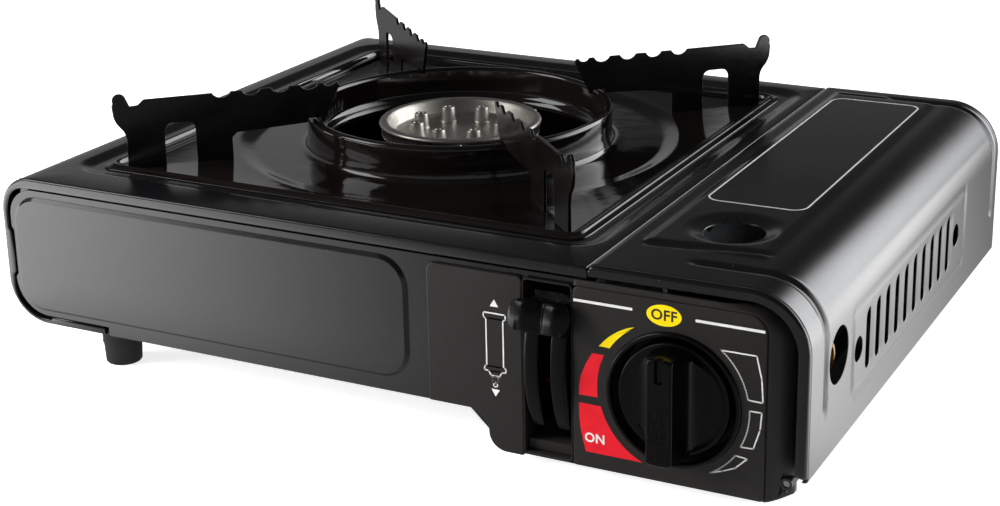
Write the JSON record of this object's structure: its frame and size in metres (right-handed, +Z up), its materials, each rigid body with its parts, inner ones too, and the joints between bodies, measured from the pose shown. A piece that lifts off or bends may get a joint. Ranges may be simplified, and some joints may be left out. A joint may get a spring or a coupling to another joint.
{
  "type": "portable gas stove",
  "caption": "Table-top stove for a butane cartridge: pressed steel casing, enamelled drip pan with scalloped pot arms, ring burner, rotary knob, locking lever and a hinged bay lid.",
  "frame": {"origin": "under the middle of the bounding box, on the plane that the feet stand on", "axes": "+X to the right as the user faces the controls, -Y towards the user, +Z up"},
  "size_m": [0.342, 0.278, 0.1088],
  "materials": {
    "casing_paint": "satin",
    "tray_paint": "matte",
    "panel_paint": "satin",
    "enamel": "gloss",
    "zinc_plate": "satin",
    "bright_steel": "polished",
    "cast_aluminium": "as cast",
    "burner_aluminium": "satin",
    "brass": "turned",
    "ceramic": "glazed",
    "igniter_plastic": "moulded",
    "wire_sheath": "extruded",
    "control_plastic": "moulded",
    "foot_rubber": "moulded",
    "seal_rubber": "moulded"
  },
  "bodies": {
    "base": {"base_tray": "tray_paint", "front_panel": "panel_paint", "top_cover": "casing_paint", "bay_partition": "zinc_plate", "heat_plate": "burner_aluminium", "cradle_rail_left": "tray_paint", "cradle_rail_right": "tray_paint", "burner_base": "cast_aluminium", "burner_head": "burner_aluminium", "burner_bracket": "zinc_plate", "burner_screws": "bright_steel", "mixing_tube": "zinc_plate", "gas_governor": "cast_aluminium", "governor_cover": "zinc_plate", "governor_plug": "brass", "governor_screws": "bright_steel", "governor_bracket": "zinc_plate", "guide_plate": "zinc_plate", "inlet_nozzle": "brass", "inlet_seal": "seal_rubber", "gas_jet": "brass", "piezo_igniter": "igniter_plastic", "igniter_wire": "wire_sheath", "spark_electrode": "bright_steel", "electrode_insulator": "ceramic", "electrode_bracket": "zinc_plate", "lever_guide": "panel_paint", "lever_pin": "bright_steel", "knob_bezel": "control_plastic", "hinge_rod": "bright_steel", "foot_front_left": "foot_rubber", "foot_back_left": "foot_rubber", "foot_front_right": "foot_rubber", "foot_back_right": "foot_rubber", "foot_screws": "bright_steel", "tray_screws": "bright_steel"},
    "lid": {"lid": "casing_paint"},
    "knob": {"knob": "control_plastic", "valve_spindle": "brass"},
    "lever": {"lock_lever": "zinc_plate", "lever_grip": "control_plastic"},
    "carriage": {"cartridge_pusher": "zinc_plate", "pusher_pad": "seal_rubber"},
    "pan": {"drip_pan": "enamel", "pot_arm_front_left": "enamel", "pot_arm_front_right": "enamel", "pot_arm_back_right": "enamel", "pot_arm_back_left": "enamel"}
  },
  "joints": [
    {"name": "lid_hinge", "type": "hinge", "parent": "base", "child": "lid", "pos_m": [0.1633, 0.0075, 0.0117], "axis": [0, 1, 0], "range_deg": [0, 92]},
    {"name": "knob_turn", "type": "hinge", "parent": "base", "child": "knob", "pos_m": [0.1226, -0.124, 0.0368], "axis": [0, -1, 0], "range_deg": [0, 130]},
    {"name": "lever_swing", "type": "hinge", "parent": "base", "child": "lever", "pos_m": [0.0744, -0.0725, 0.041], "axis": [1, 0, 0], "range_deg": [0, 41]},
    {"name": "cartridge_slide", "type": "slide", "parent": "base", "child": "carriage", "axis": [0, -1, 0], "range_m": [0, 0.009]},
    {"name": "pan_lift", "type": "slide", "parent": "base", "child": "pan", "axis": [0, 0, 1], "range_m": [0, 0.15]}
  ],
  "couplings": [
    {"joint": "cartridge_slide", "follows": "lever_swing", "m_per_rad": 0.012577}
  ]
}
